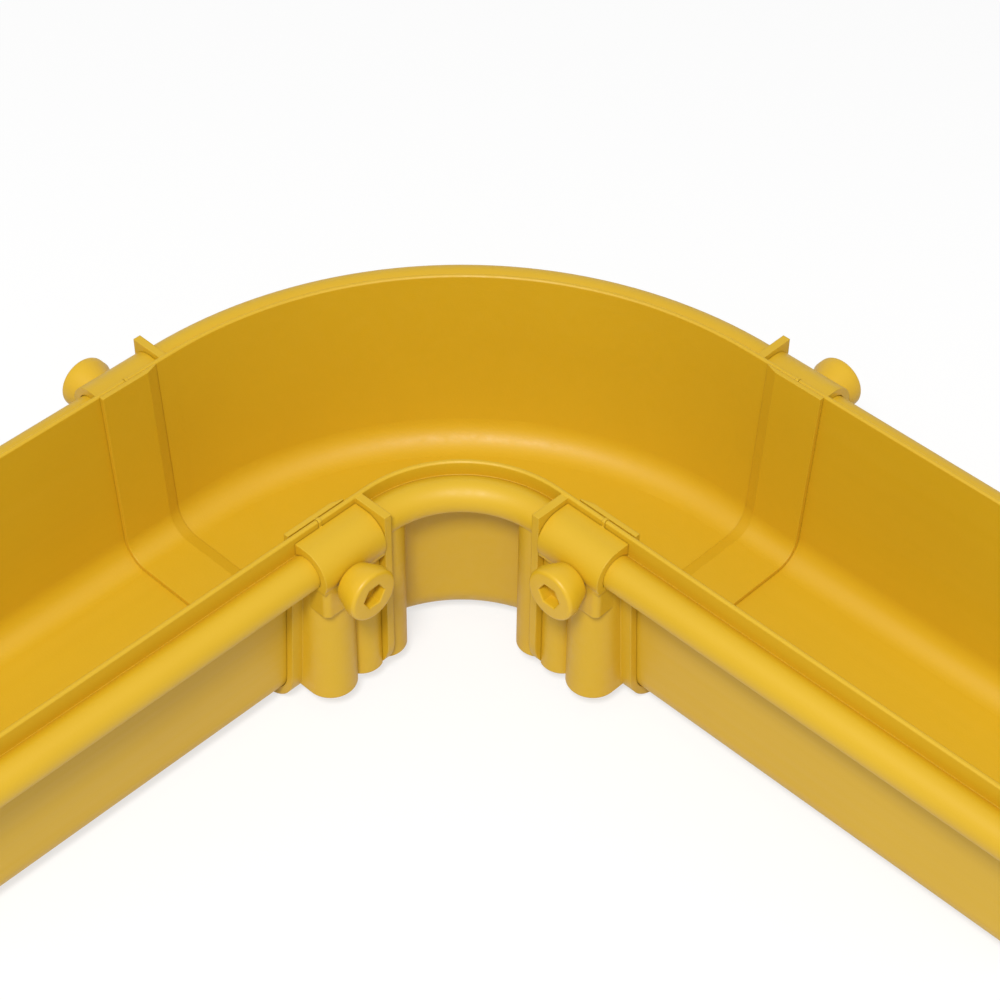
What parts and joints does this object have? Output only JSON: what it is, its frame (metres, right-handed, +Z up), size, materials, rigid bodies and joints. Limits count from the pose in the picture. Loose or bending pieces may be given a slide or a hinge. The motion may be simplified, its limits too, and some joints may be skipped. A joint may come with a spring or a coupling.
{
  "type": "fibre raceway elbow",
  "caption": "Right-angle corner of an open-topped yellow fibre raceway: moulded elbow, screw-clamped couplers and straight channel ends with curled rims.",
  "frame": {"origin": "middle of the corner's plan, on the plane that the couplers' undersides stand on", "axes": "+Z up out of the trough, +X along the right-hand channel, -Y along the left-hand channel"},
  "size_m": [0.4558, 0.4558, 0.1011],
  "materials": {
    "raceway_plastic": "satin moulded plastic",
    "knob_plastic": "satin moulded plastic",
    "zinc_steel": "zinc plated"
  },
  "bodies": {
    "raceway": {"elbow": "raceway_plastic", "coupler_right": "raceway_plastic", "coupler_left": "raceway_plastic", "channel_right": "raceway_plastic", "channel_left": "raceway_plastic"},
    "thumb_screw_right_outer": {"knob_right_outer": "knob_plastic", "stud_right_outer": "zinc_steel", "washer_right_outer": "zinc_steel"},
    "clamp_right_outer": {"clamp_plate_right_outer": "zinc_steel"},
    "thumb_screw_right_inner": {"knob_right_inner": "knob_plastic", "stud_right_inner": "zinc_steel", "washer_right_inner": "zinc_steel"},
    "clamp_right_inner": {"clamp_plate_right_inner": "zinc_steel"},
    "thumb_screw_left_outer": {"knob_left_outer": "knob_plastic", "stud_left_outer": "zinc_steel", "washer_left_outer": "zinc_steel"},
    "clamp_left_outer": {"clamp_plate_left_outer": "zinc_steel"},
    "thumb_screw_left_inner": {"knob_left_inner": "knob_plastic", "stud_left_inner": "zinc_steel", "washer_left_inner": "zinc_steel"},
    "clamp_left_inner": {"clamp_plate_left_inner": "zinc_steel"}
  },
  "joints": [
    {"name": "turn_right_outer", "type": "hinge", "parent": "raceway", "child": "thumb_screw_right_outer", "pos_m": [0.0097, 0.2135, 0.0796], "axis": [0, 1, 0], "range_deg": [0, 720]},
    {"name": "grip_right_outer", "type": "slide", "parent": "raceway", "child": "clamp_right_outer", "axis": [0, -1, 0], "range_m": [0, 0.00201]},
    {"name": "turn_right_inner", "type": "hinge", "parent": "raceway", "child": "thumb_screw_right_inner", "pos_m": [0.0097, 0.0547, 0.0796], "axis": [0, -1, 0], "range_deg": [0, 720]},
    {"name": "grip_right_inner", "type": "slide", "parent": "raceway", "child": "clamp_right_inner", "axis": [0, 1, 0], "range_m": [0, 0.00201]},
    {"name": "turn_left_outer", "type": "hinge", "parent": "raceway", "child": "thumb_screw_left_outer", "pos_m": [-0.2135, -0.0097, 0.0796], "axis": [-1, 0, 0], "range_deg": [0, 720]},
    {"name": "grip_left_outer", "type": "slide", "parent": "raceway", "child": "clamp_left_outer", "axis": [1, 0, 0], "range_m": [0, 0.00201]},
    {"name": "turn_left_inner", "type": "hinge", "parent": "raceway", "child": "thumb_screw_left_inner", "pos_m": [-0.0547, -0.0097, 0.0796], "axis": [1, 0, 0], "range_deg": [0, 720]},
    {"name": "grip_left_inner", "type": "slide", "parent": "raceway", "child": "clamp_left_inner", "axis": [-1, 0, 0], "range_m": [0, 0.00201]}
  ],
  "couplings": [
    {"joint": "grip_right_outer", "follows": "turn_right_outer", "m_per_rad": 0.00015915},
    {"joint": "grip_right_inner", "follows": "turn_right_inner", "m_per_rad": 0.00015915},
    {"joint": "grip_left_outer", "follows": "turn_left_outer", "m_per_rad": 0.00015915},
    {"joint": "grip_left_inner", "follows": "turn_left_inner", "m_per_rad": 0.00015915}
  ]
}
